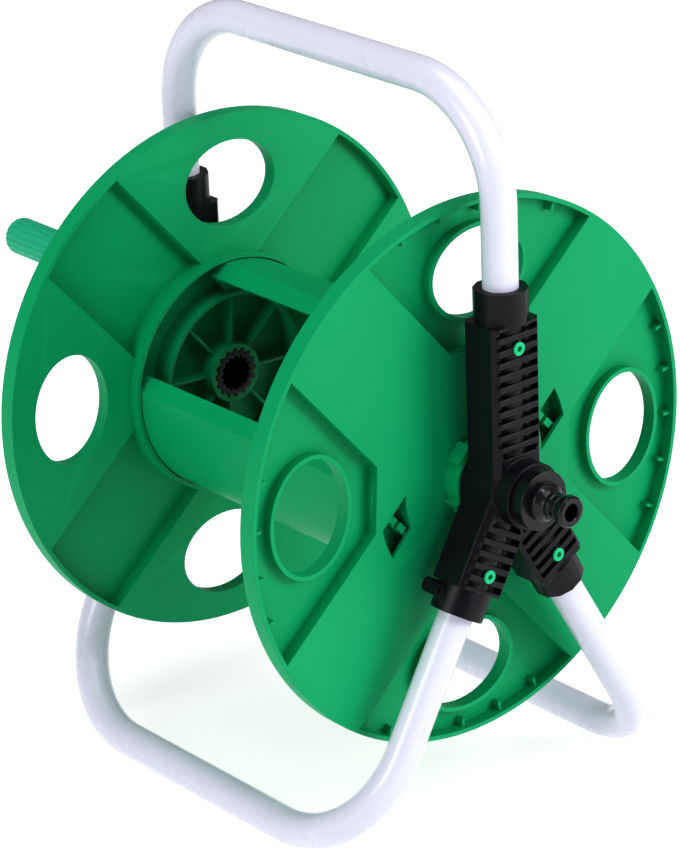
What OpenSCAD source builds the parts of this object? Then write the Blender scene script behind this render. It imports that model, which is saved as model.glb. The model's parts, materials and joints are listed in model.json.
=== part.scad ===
// Freestanding carry-type garden hose reel: a steel tube frame, a plastic drum on an axle,
// a water inlet through one hub and a crank through the other.
// The axle runs along X, the inlet side is +X, the crank side is -X, +Z is up.

/* [Tube frame] */
// Outer diameter of the steel tubes
tube_d = 19; // [17:0.5:21]
// Wall thickness of the steel tubes
tube_wall = 1.2; // [0.8:0.1:1.6]
// Height of the carrying bar's centre above the axle
handle_rise = 211; // [190:1:240]
// Bend radius of the carrying handle, at the tube's centre
handle_bend_r = 59; // [45:1:65]
// Distance from the axle to the centre of the front floor bar
front_reach = 213; // [195:0.5:230]
// Distance from the axle to the centre of the rear floor bar
rear_reach = 224; // [200:0.5:240]
// Bend radius of the front leg loop, at the tube's centre
front_bend_r = 64; // [45:1:70]
// Bend radius of the rear leg loop, at the tube's centre
rear_bend_r = 55; // [45:1:70]
// Lean of each leg from the vertical, in degrees
leg_lean = 30; // [24:1:36]

/* [Drum] */
// Outer radius of each flange
flange_r = 150; // [138:1:160]
// Depth of a flange from its inner face to its outer face
flange_depth = 10; // [9:0.5:12]
// Wall thickness of the flange mouldings
flange_wall = 2.5; // [2:0.1:3]
// Clear width between the inner faces of the two flanges
drum_w = 196; // [180:1:204]
// Turn of the flange pattern about the axle, in degrees
drum_turn = -1.5; // [-12:0.5:12]
// Half width of each of the four raised arms of a flange
cross_half = 35; // [30:1:38]
// Distance from the axle to each flat side of the raised centre
centre_half = 68; // [67:0.5:74]
// Distance from the rim to each flange hole
hole_margin = 15.5; // [13:0.5:18]
// Width of a flange hole along the radius
hole_radial = 49; // [40:0.5:50]
// Width of a flange hole across the radius
hole_across = 63; // [50:0.5:64]
// Height by which the collar of a flange hole stops short of the outer face
hole_collar_drop = 2; // [1:0.5:4]

/* [Hose core] */
// Outer radius of the core that the hose winds on
core_r = 66.5; // [62:0.5:67]
// Wall thickness of the core slats
slat_wall = 2.5; // [2:0.1:3]
// Half of the arc that one slat covers, in degrees
slat_half_angle = 49; // [44:1:54]
// Depth of the stiffening lip along both edges of a slat
slat_lip = 10.5; // [6:0.5:12]
// Turn of the slats from the flange pattern, in degrees
slat_turn = 47; // [43:1:49]
// Height of the ring walls that hold the slats, above a flange's inner face
ring_rise = 6; // [4:0.5:8]
// Inner radius of the annular groove that holds the slats
groove_inner_r = 48; // [46:0.5:50]

/* [Snap hooks] */
// Distance from the slat's middle line to the near side of a hook window
window_near = 17; // [15:0.5:20]
// Distance from the slat's middle line to the far side of a hook window
window_far = 34; // [32:0.5:36]
// Width of one snap prong
prong_w = 6; // [4:0.5:7]
// Thickness of one snap prong
prong_t = 2.2; // [1.8:0.1:2.6]
// Overhang of the snap prong's head
hook_lip = 1.8; // [1.2:0.1:2.2]

/* [Hubs] */
// Gap between a flange's outer face and the back of the hub arms
hub_gap = 10.3; // [9.5:0.1:14]
// Width of a hub arm across its ribbed front
arm_w = 32.4; // [30:0.2:34]
// Depth of a hub arm along the axle
arm_depth = 25.4; // [24.8:0.2:26]
// Length of the upper hub arm from the axle to its shoulder
arm_long = 92.8; // [92:0.2:104]
// Length of the front lower hub arm from the axle to its shoulder
arm_fore = 57; // [56:0.5:64]
// Length of the rear lower hub arm from the axle to its shoulder
arm_rear = 60.5; // [56:0.5:64]
// Length of the upper arm's collar beyond its shoulder
collar_high = 17.2; // [13:0.2:20]
// Length of a lower arm's collar beyond its shoulder
collar_low = 15; // [12:0.5:18]
// Radius of a collar at its corners
collar_r = 14.4; // [14:0.1:14.8]
// Radius of the barrel in the middle of a hub
barrel_r = 19; // [18.5:0.5:21]
// Radius of the boss on a hub's outer face
boss_r = 18; // [17:0.2:18]
// Height of the boss above a hub's outer face
boss_rise = 9.2; // [7:0.2:11]
// Radius of the inlet hub's spigot that the drum turns on
spigot_r = 13; // [12.5:0.1:13.5]
// Distance between the grip grooves of a hub arm
groove_pitch = 6.7; // [6:0.1:7]
// Width of a grip groove
groove_w = 3.4; // [2.5:0.1:4]
// Depth of a grip groove at the sides of the tube socket
groove_deep = 4.5; // [2:0.1:5]
// Number of grip grooves on the upper arm
grooves_high = 11; // [8:1:11]
// Number of grip grooves on a lower arm
grooves_low = 6; // [3:1:6]

/* [Tube fasteners] */
// Distance from the upper arm's shoulder back to its tube pin
pin_back_high = 13.2; // [8:0.2:24]
// Distance from a lower arm's shoulder back to its tube pin
pin_back_low = 9.8; // [7:0.2:14]
// Radius of the green ring at the head of a tube pin
pin_head_r = 3.7; // [3.3:0.1:4.2]
// Height of the pin head above the hub face
pin_head_rise = 1.2; // [0.8:0.1:2]
// Radius of a tube pin's shank
pin_r = 2.6; // [2.2:0.1:2.8]
// Radius of the blind hole in a pin head
pin_eye_r = 1.5; // [1.2:0.1:1.8]
// Depth of the blind hole in a pin head
pin_eye_deep = 5; // [3:0.2:5.4]
// Distance from a collar's end back to its clamp screw
clamp_back = 9.4; // [8.6:0.2:9.8]
// Radius of a clamp screw's shank
clamp_r = 1.7; // [1.5:0.1:2]
// Radius of a clamp screw's head
clamp_head_r = 3.2; // [2.8:0.1:3.6]
// Height of a clamp screw's head
clamp_head_h = 3.5; // [2.5:0.1:4]

/* [Water path] */
// Outer radius of the inlet stem
stem_r = 8; // [7.6:0.1:8.4]
// Bore radius of the water path
water_r = 4.5; // [4:0.1:4.6]
// Radius of the stem's round collar
stem_collar_r = 16; // [14:0.5:17]
// Thickness of the stem's round collar
stem_collar_t = 8; // [6:0.5:10]
// Length of a quick connector
connector_len = 21; // [20:0.5:24]
// Radius of a quick connector's end ring
connector_ring_r = 8.6; // [8.4:0.1:9]
// Radius of a quick connector's neck
connector_neck_r = 6.8; // [6.7:0.1:7]
// Radius of a quick connector's foot
connector_foot_r = 11; // [10.2:0.1:11.4]
// Radius of the threaded stub that a quick connector screws on
stub_r = 6.5; // [6.2:0.1:6.8]
// Length of that threaded stub
stub_len = 7; // [6:0.5:7.5]
// Wire radius of the rubber O-rings
oring_wire_r = 1.2; // [1:0.1:1.3]
// Distance from the axle to the foot of the outlet connector
outlet_foot_r = 34; // [30:0.5:37]
// Outer radius of the outlet elbow's spout
spout_r = 8.5; // [8:0.1:9]

/* [Crank] */
// Distance from the axle to the knob's axis
crank_r = 91; // [75:1:105]
// Turn of the crank arm from the flange pattern, in degrees
crank_turn = 135; // [120:1:150]
// Thickness of the crank arm
crank_t = 8; // [6:0.5:10]
// Radius of the knob
knob_r = 10.6; // [9.5:0.1:12]
// Length of the knob
knob_len = 49; // [40:1:60]
// Number of flutes round the knob
knob_flutes = 18; // [12:1:20]
// Radius of the crank shaft's journal in the hub
journal_r = 9.5; // [9:0.1:10]
// Root radius of the crank shaft's splines
spline_root_r = 12.8; // [12.4:0.1:13]
// Tip radius of the crank shaft's splines
spline_tip_r = 14.5; // [14.2:0.1:14.8]
// Number of splines
spline_count = 16; // [12:1:18]
// Width across the flats of the crank shaft's square end
square_w = 12; // [11:0.2:12.6]

/* [Fits] */
// Gap all round a shaft or pin in its hole
fit_gap = 0.05; // [0.04:0.01:0.08]
// Running gap between a turning piece and a fixed one
run_gap = 0.4; // [0.3:0.05:0.6]
// Gap between a moulded piece and its seat
seat_gap = 0.2; // [0.1:0.05:0.3]

/* [Hidden] */
$fn = 64;

// Overrun of every cut past the face that it opens
over = 1;

// Stations along the axle, from the middle of the drum
face_in = drum_w / 2;
face_out = face_in + flange_depth;
plate_in = face_in + flange_wall;
plate_out = face_out - flange_wall;
ring_edge = face_in - ring_rise;
tube_x = face_out + hub_gap + arm_depth / 2;
arm_front = tube_x + arm_depth / 2;
arm_back = tube_x - arm_depth / 2;
boss_front = arm_front + boss_rise;
barrel_rise = 0.7;
barrel_back = arm_back - barrel_rise;
flange_boss_end = barrel_back - run_gap;
tube_r = tube_d / 2;
// Lean of the whole frame that brings both floor bars down to the floor, +Y towards +Z
stand_tilt = atan((rear_reach - front_reach) / (rear_reach + front_reach) / tan(leg_lean));
axle_h = front_reach * cos(leg_lean - stand_tilt) + tube_r;

// Knob and connector ends set the overall length, the origin lies half way between them
stem_front = boss_front + stem_collar_t;
connector_end = stem_front + connector_len;
crank_in = boss_front + run_gap;
crank_out = crank_in + crank_t;
knob_in = crank_out + run_gap;
knob_out = knob_in + knob_len;
mid_x = (knob_out - connector_end) / 2;

// Hub arms, upper, front and rear: direction about the axle, lengths, first groove and count
up_dir = 90;
arm_dirs = [up_dir, 3 * up_dir - leg_lean, 3 * up_dir + leg_lean];
arm_lens = [arm_long, arm_fore, arm_rear];
collar_lens = [collar_high, collar_low, collar_low];
groove_high = 20.7;
groove_low = 18.1;
groove_firsts = [groove_high, groove_low, groove_low];
groove_counts = [grooves_high, grooves_low, grooves_low];
arms = [0, 1, 2];

// Hub details
arm_chamfer = 3;
barrel_drop = 2;
collar_sides = 12;
groove_margin = 2;
socket_wall = 2.2;
tube_stop = 9;
tube_start = barrel_r + tube_stop;
lug_wall = 2.4;
lug_side = tube_r + lug_wall / 2 + clamp_r + fit_gap;
lug_len = 12;
lug_back = arm_back - lug_wall;
lug_front = lug_back + lug_len;
clamp_tip = lug_front - lug_wall;
// The two lower arms have a clamp screw, each on the outer side of its tube
clamps = [1, 2];
clamp_sides = [0, lug_side, -lug_side];
arm_pins = [arm_long - pin_back_high, arm_fore - pin_back_low, arm_rear - pin_back_low];

// Flange details
flange_boss_r = 16.6;
guard_r = 20.5;
guard_wall = 2;
guard_lug_w = 12;
guard_lug_rise = 2.2;
spline_wall = 2.6;
crank_boss_r = spline_tip_r + spline_wall;
cup_ribs = 8;
rib_t = 1.8;
cup_rib_drop = 4;
rim_ribs = 5;
rim_rib_step = 10.5;
rim_rib_w = 5;
ellipse_sides = 48;
post_r = 4;
post_pitch_r = 24;
posts = 3;
catch_w = 2;
catch_h = 2.5;
core_gap = 0.6;
ring_outer_r = core_r + core_gap;
hole_pitch_r = flange_r - hole_margin - hole_radial / 2;

// Snap prongs, their catches in the flange and the windows that show them
prong_gap = 2.5;
prong_side = window_near + (window_far - window_near) / 2;
prong_inset = 2;
prong_root = groove_inner_r - prong_inset;
catch_root = prong_root + prong_t + seat_gap;
catch_in = plate_in;
catch_out = catch_in + catch_h;
prong_end = catch_out + seat_gap + prong_t;
web_inner_r = groove_inner_r + core_gap;

// Water path stations along the axle
clip_t = 1.5;
clip_r = 11;
clip_groove = 1.2;
clip_mouth = 8;
elbow_plate_t = 2.5;
elbow_plate_r = post_pitch_r + post_r;
elbow_face = ring_edge - elbow_plate_t;
elbow_wall = 3.6;
elbow_len = 23.5;
elbow_end = 1.8;
spout_bore_r = 4;
elbow_x = elbow_face - elbow_len;
stem_end = elbow_x + water_r + elbow_wall;
socket_r = stem_r + run_gap;
oring_r = socket_r - oring_wire_r - fit_gap;
oring_first = 3;
oring_step = 5;
oring_places = [stem_end + oring_first, stem_end + oring_first + oring_step];
post_screw_r = 1.7;
post_screw_end = plate_out - flange_wall;
post_head_r = 3.4;
post_head_h = 2.2;
connector_bore_r = 4.5;
mouth_flare = 0.7;
neck_wire_r = 0.9;
neck_ring_rise = 0.4;
seal_t = 1.2;
outlet_turn = crank_turn;
// Stations of a quick connector as shares of its length, foot first
foot_share = 0.24;
shoulder_share = 0.42;
neck_share = 0.5;
groove_share = 0.66;
ring_share = 0.8;
mouth_share = 0.95;

// Splined outline: teeth with straight flanks
function spline_points(root, tip, count) = [
    for (i = [0 : count - 1], s = [0 : 3])
        let (a = (i + s / 4) * 360 / count, r = s < 2 ? tip : root) [r * cos(a), r * sin(a)]
];
// Ellipse outline from its two half widths
function ellipse_points(half_u, half_v, sides) = [
    for (i = [0 : sides - 1])
        let (a = i * 360 / sides) [half_u * cos(a), half_v * sin(a)]
];

// Everything is drawn about the axle's middle and lifted to its place here
module at_axle() translate([mid_x, 0, axle_h]) children();
// Turns a piece about the axle: +Y goes towards +Z
module about_axle(a) rotate([a, 0, 0]) children();
// The tube frame with its hubs stands leaning about the axle
module in_frame() at_axle() about_axle(stand_tilt) children();
// Puts local +Z along an arm direction
module along_arm(dir) rotate([dir - up_dir, 0, 0]) children();
// Extrudes an outline in Y and Z along the axle
module along_x(from, to) translate([from, 0, 0]) rotate([90, 0, 90]) linear_extrude(to - from) children();
// Cylinder along the axle
module rod_x(from, to, r) translate([from, 0, 0]) rotate([0, 90, 0]) cylinder(h = to - from, r = r);
// Ring along the axle
module ring_x(from, to, r_out, r_in) difference() {
    rod_x(from, to, r_out);
    rod_x(from - over, to + over, r_in);
}
// Outline of radius against place, turned about the axle
module turned_x(points) rotate([0, 90, 0]) rotate_extrude() polygon(points);
// The crank side is the inlet side seen in a mirror
module other_side() mirror([1, 0, 0]) children();

// Straight and bent lengths of tube
module tube_run(len) difference() {
    cylinder(h = len, r = tube_r);
    translate([0, 0, -over]) cylinder(h = len + 2 * over, r = tube_r - tube_wall);
}
module tube_bend(bend_r) rotate([90, 0, 0]) translate([-bend_r, 0, 0]) rotate_extrude(angle = 90)
    translate([bend_r, 0]) difference() {
        circle(r = tube_r);
        circle(r = tube_r - tube_wall);
    }
// Half of a U loop: up one tube, round the bend and half way along the bar
module half_loop(reach, bend_r) {
    translate([tube_x, 0, tube_start]) tube_run(reach - bend_r - tube_start);
    translate([tube_x, 0, reach - bend_r]) tube_bend(bend_r);
    translate([0, 0, reach]) rotate([0, 90, 0]) tube_run(tube_x - bend_r);
}
// One U loop with the pin holes that its two ends have
module loop_tube(reach, bend_r, pin_place) difference() {
    union() {
        half_loop(reach, bend_r);
        other_side() half_loop(reach, bend_r);
    }
    translate([0, 0, pin_place])
        for (side = [0, 1]) mirror([side, 0, 0]) rod_x(tube_x, arm_front, pin_r + fit_gap);
}

module handle_tube() color("white") in_frame()
    along_arm(arm_dirs[0]) loop_tube(handle_rise, handle_bend_r, arm_pins[0]);
module front_leg_tube() color("white") in_frame()
    along_arm(arm_dirs[1]) loop_tube(front_reach, front_bend_r, arm_pins[1]);
module rear_leg_tube() color("white") in_frame()
    along_arm(arm_dirs[2]) loop_tube(rear_reach, rear_bend_r, arm_pins[2]);

// Section of a hub arm, a rectangle with its corners cut
module arm_section() {
    u = arm_depth / 2;
    v = arm_w / 2;
    c = arm_chamfer;
    polygon([[u, c - v], [u, v - c], [u - c, v], [c - u, v], [-u, v - c], [-u, c - v], [c - u, -v],
        [u - c, -v]]);
}
// Places what belongs at each clamp screw
module clamp_places() for (k = clamps) along_arm(arm_dirs[k])
    translate([0, clamp_sides[k], arm_lens[k] + collar_lens[k] - clamp_back]) children();
// Arm number k with its collar
module hub_arm(k) along_arm(arm_dirs[k]) {
    translate([tube_x, 0, 0]) linear_extrude(arm_lens[k]) arm_section();
    translate([tube_x, 0, arm_lens[k] - over]) rotate([0, 0, 360 / collar_sides / 2])
        cylinder(h = collar_lens[k] + over, r = collar_r, $fn = collar_sides);
}
// Grip grooves of arm number k: they stop at the socket's wall and short of the next arm
module grip_grooves(k) difference() {
    intersection() {
        for (i = [0 : groove_counts[k] - 1])
            translate([arm_front - groove_deep, groove_margin - arm_w / 2,
                groove_firsts[k] + i * groove_pitch])
                cube([groove_deep + over, arm_w - 2 * groove_margin, groove_w]);
        along_x(arm_back, arm_front + 2 * over) polygon([[0, groove_margin],
            [-arm_lens[k] * tan(leg_lean), arm_lens[k] + groove_margin],
            [arm_lens[k] * tan(leg_lean), arm_lens[k] + groove_margin]]);
    }
    translate([tube_x, 0, 0]) cylinder(h = arm_lens[k] + over, r = tube_r + socket_wall);
}
// Cuts in arm number k: tube socket, grip grooves and pin hole
module hub_arm_cuts(k) along_arm(arm_dirs[k]) {
    translate([tube_x, 0, tube_start])
        cylinder(h = arm_lens[k] + collar_lens[k] + over - tube_start, r = tube_r + fit_gap);
    grip_grooves(k);
    translate([0, 0, arm_pins[k]]) rod_x(tube_x, arm_front + over, pin_r + fit_gap);
}
// One hub: three arms on a barrel with a boss outside, bored for what runs through it
module hub(bore_r) difference() {
    union() {
        rod_x(barrel_back, arm_front - barrel_drop, barrel_r);
        rod_x(arm_front - barrel_drop - over, boss_front, boss_r);
        for (k = arms) hub_arm(k);
        clamp_places() rod_x(lug_back, lug_front, clamp_r + lug_wall);
    }
    for (k = arms) hub_arm_cuts(k);
    clamp_places() rod_x(lug_back - over, clamp_tip, clamp_r + fit_gap);
    rod_x(barrel_back - over, boss_front + over, bore_r + fit_gap);
}
// Far end of the spigot that the inlet flange turns on
spigot_end = ring_edge + clip_t + run_gap + seat_gap;
module inlet_hub() color([0.1, 0.1, 0.11]) in_frame() {
    hub(stem_r);
    ring_x(spigot_end, barrel_back, spigot_r, stem_r + fit_gap);
}
module crank_hub() color([0.1, 0.1, 0.11]) in_frame() other_side() hub(journal_r);

// Length of a tube pin inside the tube
pin_reach = 1.2;
// Green pins through a hub's front wall and the tube behind it
pin_end = tube_x + tube_r - tube_wall - pin_reach;
module tube_pins() for (k = arms) along_arm(arm_dirs[k])
    translate([0, 0, arm_pins[k]]) difference() {
        union() {
            rod_x(pin_end, arm_front, pin_r);
            rod_x(arm_front, arm_front + pin_head_rise, pin_head_r);
        }
        rod_x(arm_front + pin_head_rise - pin_eye_deep, arm_front + pin_head_rise + over, pin_eye_r);
    }
module inlet_tube_pins() color([0.1, 0.65, 0.4]) in_frame() tube_pins();
module crank_tube_pins() color([0.1, 0.65, 0.4]) in_frame() other_side() tube_pins();

// Steel clamp screws beside the leg tubes, heads towards the drum
module clamp_screws() clamp_places() {
    rod_x(lug_back, clamp_tip, clamp_r);
    rod_x(lug_back - clamp_head_h, lug_back, clamp_head_r);
}
module inlet_clamp_screws() color("silver") in_frame() clamp_screws();
module crank_clamp_screws() color("silver") in_frame() other_side() clamp_screws();

// Outline of the four raised arms and the raised centre, drawn smaller by inset
module cross_outline(inset) {
    for (a = [45, 135]) rotate(a) square([2 * flange_r, 2 * (cross_half - inset)], center = true);
    square(2 * (centre_half - inset), center = true);
}
module hole_outline(grow) polygon(ellipse_points(hole_radial / 2 + grow, hole_across / 2 + grow,
    ellipse_sides));
// Places what repeats in each of the four sectors
module each_sector() for (a = [0, 90, 180, 270]) rotate(a) children();
module hole_places() each_sector() translate([hole_pitch_r, 0]) children();
// Places what repeats at both hooks of both slats
module each_window() for (a = [0, 180], m = [0, 1]) rotate(slat_turn + a) mirror([0, m]) children();
// Windows that the snap prongs show in, two for each slat
module window_outline() intersection() {
    difference() {
        circle(r = ring_outer_r - flange_wall / 2);
        circle(r = groove_inner_r);
    }
    each_window() translate([0, window_near]) square([flange_r, window_far - window_near]);
}
// Small ribs between the rim and the sector floor
module rim_rib_outline() each_sector() for (i = [0 : rim_ribs - 1])
    rotate((i - (rim_ribs - 1) / 2) * rim_rib_step)
        translate([flange_r - flange_wall - rim_rib_w, -rib_t / 2])
            square([rim_rib_w + flange_wall / 2, rib_t]);
// Stiffening ribs in the cup round the centre boss
module cup_rib_outline(boss) for (i = [0 : cup_ribs - 1])
    rotate(i * 360 / cup_ribs) translate([boss - flange_wall / 2, -rib_t / 2])
        square([groove_inner_r - boss, rib_t]);

// Catch bars that the snap prongs hold, and the legs that carry each bar
module catch_outline() each_window() translate([catch_root, window_near - flange_wall])
    square([catch_w, window_far - window_near + 2 * flange_wall]);
module catch_leg_outline() each_window() for (v = [window_near - flange_wall, window_far])
    translate([catch_root, v]) square([catch_w, flange_wall]);

// Flange shell without its bore, with a boss of the given radius
module flange_shell(boss) about_axle(drum_turn) {
    // Sector floors at the inner face
    along_x(face_in, plate_in) difference() {
        circle(r = flange_r);
        cross_outline(flange_wall);
        hole_places() hole_outline(0);
    }
    // Raised arms and centre at the outer face
    along_x(plate_out, face_out) difference() {
        intersection() {
            circle(r = flange_r);
            cross_outline(0);
        }
        window_outline();
        circle(r = boss - flange_wall / 2);
        hole_places() hole_outline(flange_wall / 2);
    }
    // Steps between the floors and the raised arms
    along_x(face_in, plate_out) difference() {
        intersection() {
            circle(r = flange_r);
            cross_outline(0);
        }
        cross_outline(flange_wall);
        hole_places() hole_outline(flange_wall / 2);
    }
    // Rim
    ring_x(face_in, face_out, flange_r, flange_r - flange_wall);
    // Hole collars
    along_x(face_in, face_out - hole_collar_drop) hole_places() difference() {
        hole_outline(flange_wall);
        hole_outline(0);
    }
    // Ring walls of the groove that holds the slats
    ring_x(ring_edge, plate_out, ring_outer_r + flange_wall, ring_outer_r);
    ring_x(ring_edge, plate_out, groove_inner_r, groove_inner_r - flange_wall);
    // Cup ribs and rim ribs
    along_x(ring_edge + cup_rib_drop, plate_out) cup_rib_outline(boss);
    along_x(plate_in, face_out - flange_wall) rim_rib_outline();
    // Catch bars
    along_x(catch_in, catch_out) catch_outline();
    along_x(catch_in, plate_out) catch_leg_outline();
    // Boss and the guard ring round it, thicker at four places
    rod_x(ring_edge, flange_boss_end, boss);
    ring_x(plate_out, flange_boss_end, guard_r, guard_r - guard_wall);
    along_x(plate_out, flange_boss_end) each_sector() rotate(up_dir / 2)
        translate([guard_r - guard_wall / 2, -guard_lug_w / 2])
            square([guard_lug_rise + guard_wall / 2, guard_lug_w]);
}
// Places of the elbow's screws, between the cup ribs
module post_places() for (i = [0 : posts - 1]) rotate((i + 1 / 2) * 360 / posts) translate([post_pitch_r, 0])
    children();
// Inlet flange: plain bore on the hub's spigot, posts for the outlet elbow
module inlet_flange() color([0, 0.6, 0.35]) at_axle() difference() {
    union() {
        flange_shell(flange_boss_r);
        about_axle(drum_turn) along_x(ring_edge, plate_out) post_places() circle(r = post_r);
    }
    rod_x(ring_edge - over, flange_boss_end + over, spigot_r + fit_gap);
    about_axle(drum_turn) along_x(ring_edge - over, post_screw_end) post_places()
        circle(r = post_screw_r + fit_gap);
}
// Crank flange: splined bore on the crank shaft
module crank_flange() color([0, 0.6, 0.35]) at_axle() other_side() difference() {
    flange_shell(crank_boss_r);
    about_axle(drum_turn) along_x(ring_edge - over, flange_boss_end + over)
        polygon(spline_points(spline_root_r + fit_gap, spline_tip_r + fit_gap, spline_count));
}

// One core slat about its own middle line along local +Y
slat_end = face_in - seat_gap;
slat_edge = core_r * sin(slat_half_angle);
slat_root = core_r * cos(slat_half_angle) - slat_lip;
module slat_prong() {
    translate([slat_end - slat_wall, prong_root, -prong_w / 2])
        cube([prong_end - slat_end + slat_wall, prong_t, prong_w]);
    translate([catch_out + seat_gap, prong_root, -prong_w / 2])
        cube([prong_t, prong_t + hook_lip, prong_w]);
}
module slat() {
    // Curved wall
    intersection() {
        ring_x(-slat_end, slat_end, core_r, core_r - slat_wall);
        along_x(-slat_end, slat_end) polygon([[0, 0], [flange_r, flange_r * tan(slat_half_angle)],
            [flange_r, -flange_r * tan(slat_half_angle)]]);
    }
    // Lips along both edges
    for (m = [0, 1]) mirror([0, 0, m])
        translate([-slat_end, slat_root, slat_edge - slat_wall]) cube([2 * slat_end, slat_lip, slat_wall]);
    // End webs and the prongs on them
    for (m = [0, 1]) mirror([m, 0, 0]) {
        along_x(slat_end - slat_wall, slat_end) intersection() {
            difference() {
                circle(r = core_r - slat_wall / 2);
                circle(r = web_inner_r);
            }
            translate([slat_root, -slat_edge + slat_wall / 2])
                square([core_r, 2 * slat_edge - slat_wall]);
        }
        for (v = [-1, 1], w = [-1, 1]) translate([0, 0, v * prong_side + w * (prong_w + prong_gap) / 2])
            slat_prong();
    }
}
module front_core_slat() color([0, 0.55, 0.32]) at_axle() about_axle(drum_turn + slat_turn + 2 * up_dir)
    slat();
module rear_core_slat() color([0, 0.55, 0.32]) at_axle() about_axle(drum_turn + slat_turn) slat();

// Inlet stem: pipe through the hub, round collar outside and a threaded stub for the connector
module inlet_stem() color([0.1, 0.1, 0.11]) at_axle() difference() {
    union() {
        rod_x(stem_end, boss_front, stem_r);
        rod_x(boss_front, stem_front, stem_collar_r);
        rod_x(stem_front, stem_front + stub_len, stub_r);
    }
    rod_x(stem_end - over, stem_front + stub_len + over, water_r);
    for (x = oring_places) ring_x(x - oring_wire_r - fit_gap, x + oring_wire_r + fit_gap, stem_r + over,
        oring_r - oring_wire_r - fit_gap);
    ring_x(clip_x - fit_gap, clip_x + clip_t + fit_gap, stem_r + over, stem_r - clip_groove);
}
// Open steel clip in the stem's groove, behind the spigot
clip_x = spigot_end - seat_gap - clip_t;
module stem_clip() color("silver") at_axle() difference() {
    ring_x(clip_x, clip_x + clip_t, clip_r, stem_r - clip_groove + fit_gap);
    translate([clip_x - over, -clip_mouth / 2, -clip_r - over]) cube([clip_t + 2 * over, clip_mouth, clip_r]);
}
// Rubber ring round the axle
module o_ring_x(x, r, wire_r) translate([x, 0, 0]) rotate([0, 90, 0]) rotate_extrude()
    translate([r, 0]) circle(r = wire_r);
module stem_o_rings() color([0.05, 0.05, 0.05]) at_axle() for (x = oring_places)
    o_ring_x(x, oring_r, oring_wire_r);

// Male quick connector from its foot at 0 to its end ring, along +X
neck_ring_r = connector_neck_r + neck_ring_rise - neck_wire_r;
neck_groove_r = neck_ring_r - neck_wire_r - fit_gap;
neck_ring_x = connector_len * groove_share;
module quick_connector() difference() {
    turned_x([[0, 0], [connector_foot_r, 0], [connector_foot_r, connector_len * foot_share],
        [(connector_foot_r + connector_neck_r) / 2, connector_len * shoulder_share],
        [connector_neck_r, connector_len * neck_share],
        [connector_neck_r, connector_len * ring_share - (connector_ring_r - connector_neck_r)],
        [connector_ring_r, connector_len * ring_share],
        [connector_ring_r, connector_len * mouth_share],
        [connector_ring_r - connector_len * (1 - mouth_share), connector_len], [0, connector_len]]);
    rod_x(-over, stub_len + seal_t, stub_r + fit_gap);
    rod_x(0, connector_len + over, connector_bore_r);
    turned_x([[0, connector_len - mouth_flare], [connector_bore_r, connector_len - mouth_flare],
        [connector_bore_r + mouth_flare + over, connector_len + over], [0, connector_len + over]]);
    ring_x(neck_ring_x - neck_wire_r - fit_gap, neck_ring_x + neck_wire_r + fit_gap,
        connector_ring_r + over, neck_groove_r);
}
module inlet_connector() color([0.05, 0.05, 0.06]) at_axle() translate([stem_front, 0, 0]) quick_connector();
module inlet_connector_seal() color([0.2, 0.2, 0.2]) at_axle()
    ring_x(stem_front + stub_len, stem_front + stub_len + seal_t, stub_r, connector_bore_r);
module inlet_connector_o_ring() color([0.05, 0.05, 0.05]) at_axle()
    o_ring_x(stem_front + neck_ring_x, neck_ring_r, neck_wire_r);

// Outlet elbow: turns with the drum, sealed on the stem, spout out between the slats
module along_outlet() about_axle(drum_turn + outlet_turn) translate([elbow_x, 0, 0]) rotate([0, 0, 90])
    children();
elbow_socket_r = socket_r + elbow_wall;
module outlet_elbow() color([0.1, 0.1, 0.11]) at_axle() difference() {
    union() {
        rod_x(elbow_x - spout_r - elbow_end, ring_edge, elbow_socket_r);
        rod_x(elbow_face, ring_edge, elbow_plate_r);
        along_outlet() rod_x(0, outlet_foot_r, spout_r);
        along_outlet() rod_x(outlet_foot_r, outlet_foot_r + stub_len, stub_r);
    }
    rod_x(stem_end - run_gap, ring_edge + over, socket_r);
    rod_x(elbow_x - spout_bore_r, ring_edge, water_r);
    along_outlet() rod_x(0, outlet_foot_r + stub_len + over, spout_bore_r);
    about_axle(drum_turn) along_x(elbow_face - over, ring_edge + over) post_places()
        circle(r = post_screw_r + fit_gap);
}
module elbow_screws() color("silver") at_axle() about_axle(drum_turn) {
    along_x(elbow_face - post_head_h, elbow_face) post_places() circle(r = post_head_r);
    along_x(elbow_face, post_screw_end) post_places() circle(r = post_screw_r);
}
module outlet_connector() color([0.05, 0.05, 0.06]) at_axle() along_outlet()
    translate([outlet_foot_r, 0, 0]) quick_connector();
module outlet_connector_seal() color([0.2, 0.2, 0.2]) at_axle() along_outlet()
    ring_x(outlet_foot_r + stub_len, outlet_foot_r + stub_len + seal_t, stub_r, connector_bore_r);
module outlet_connector_o_ring() color([0.05, 0.05, 0.05]) at_axle() along_outlet()
    o_ring_x(outlet_foot_r + neck_ring_x, neck_ring_r, neck_wire_r);

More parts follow.
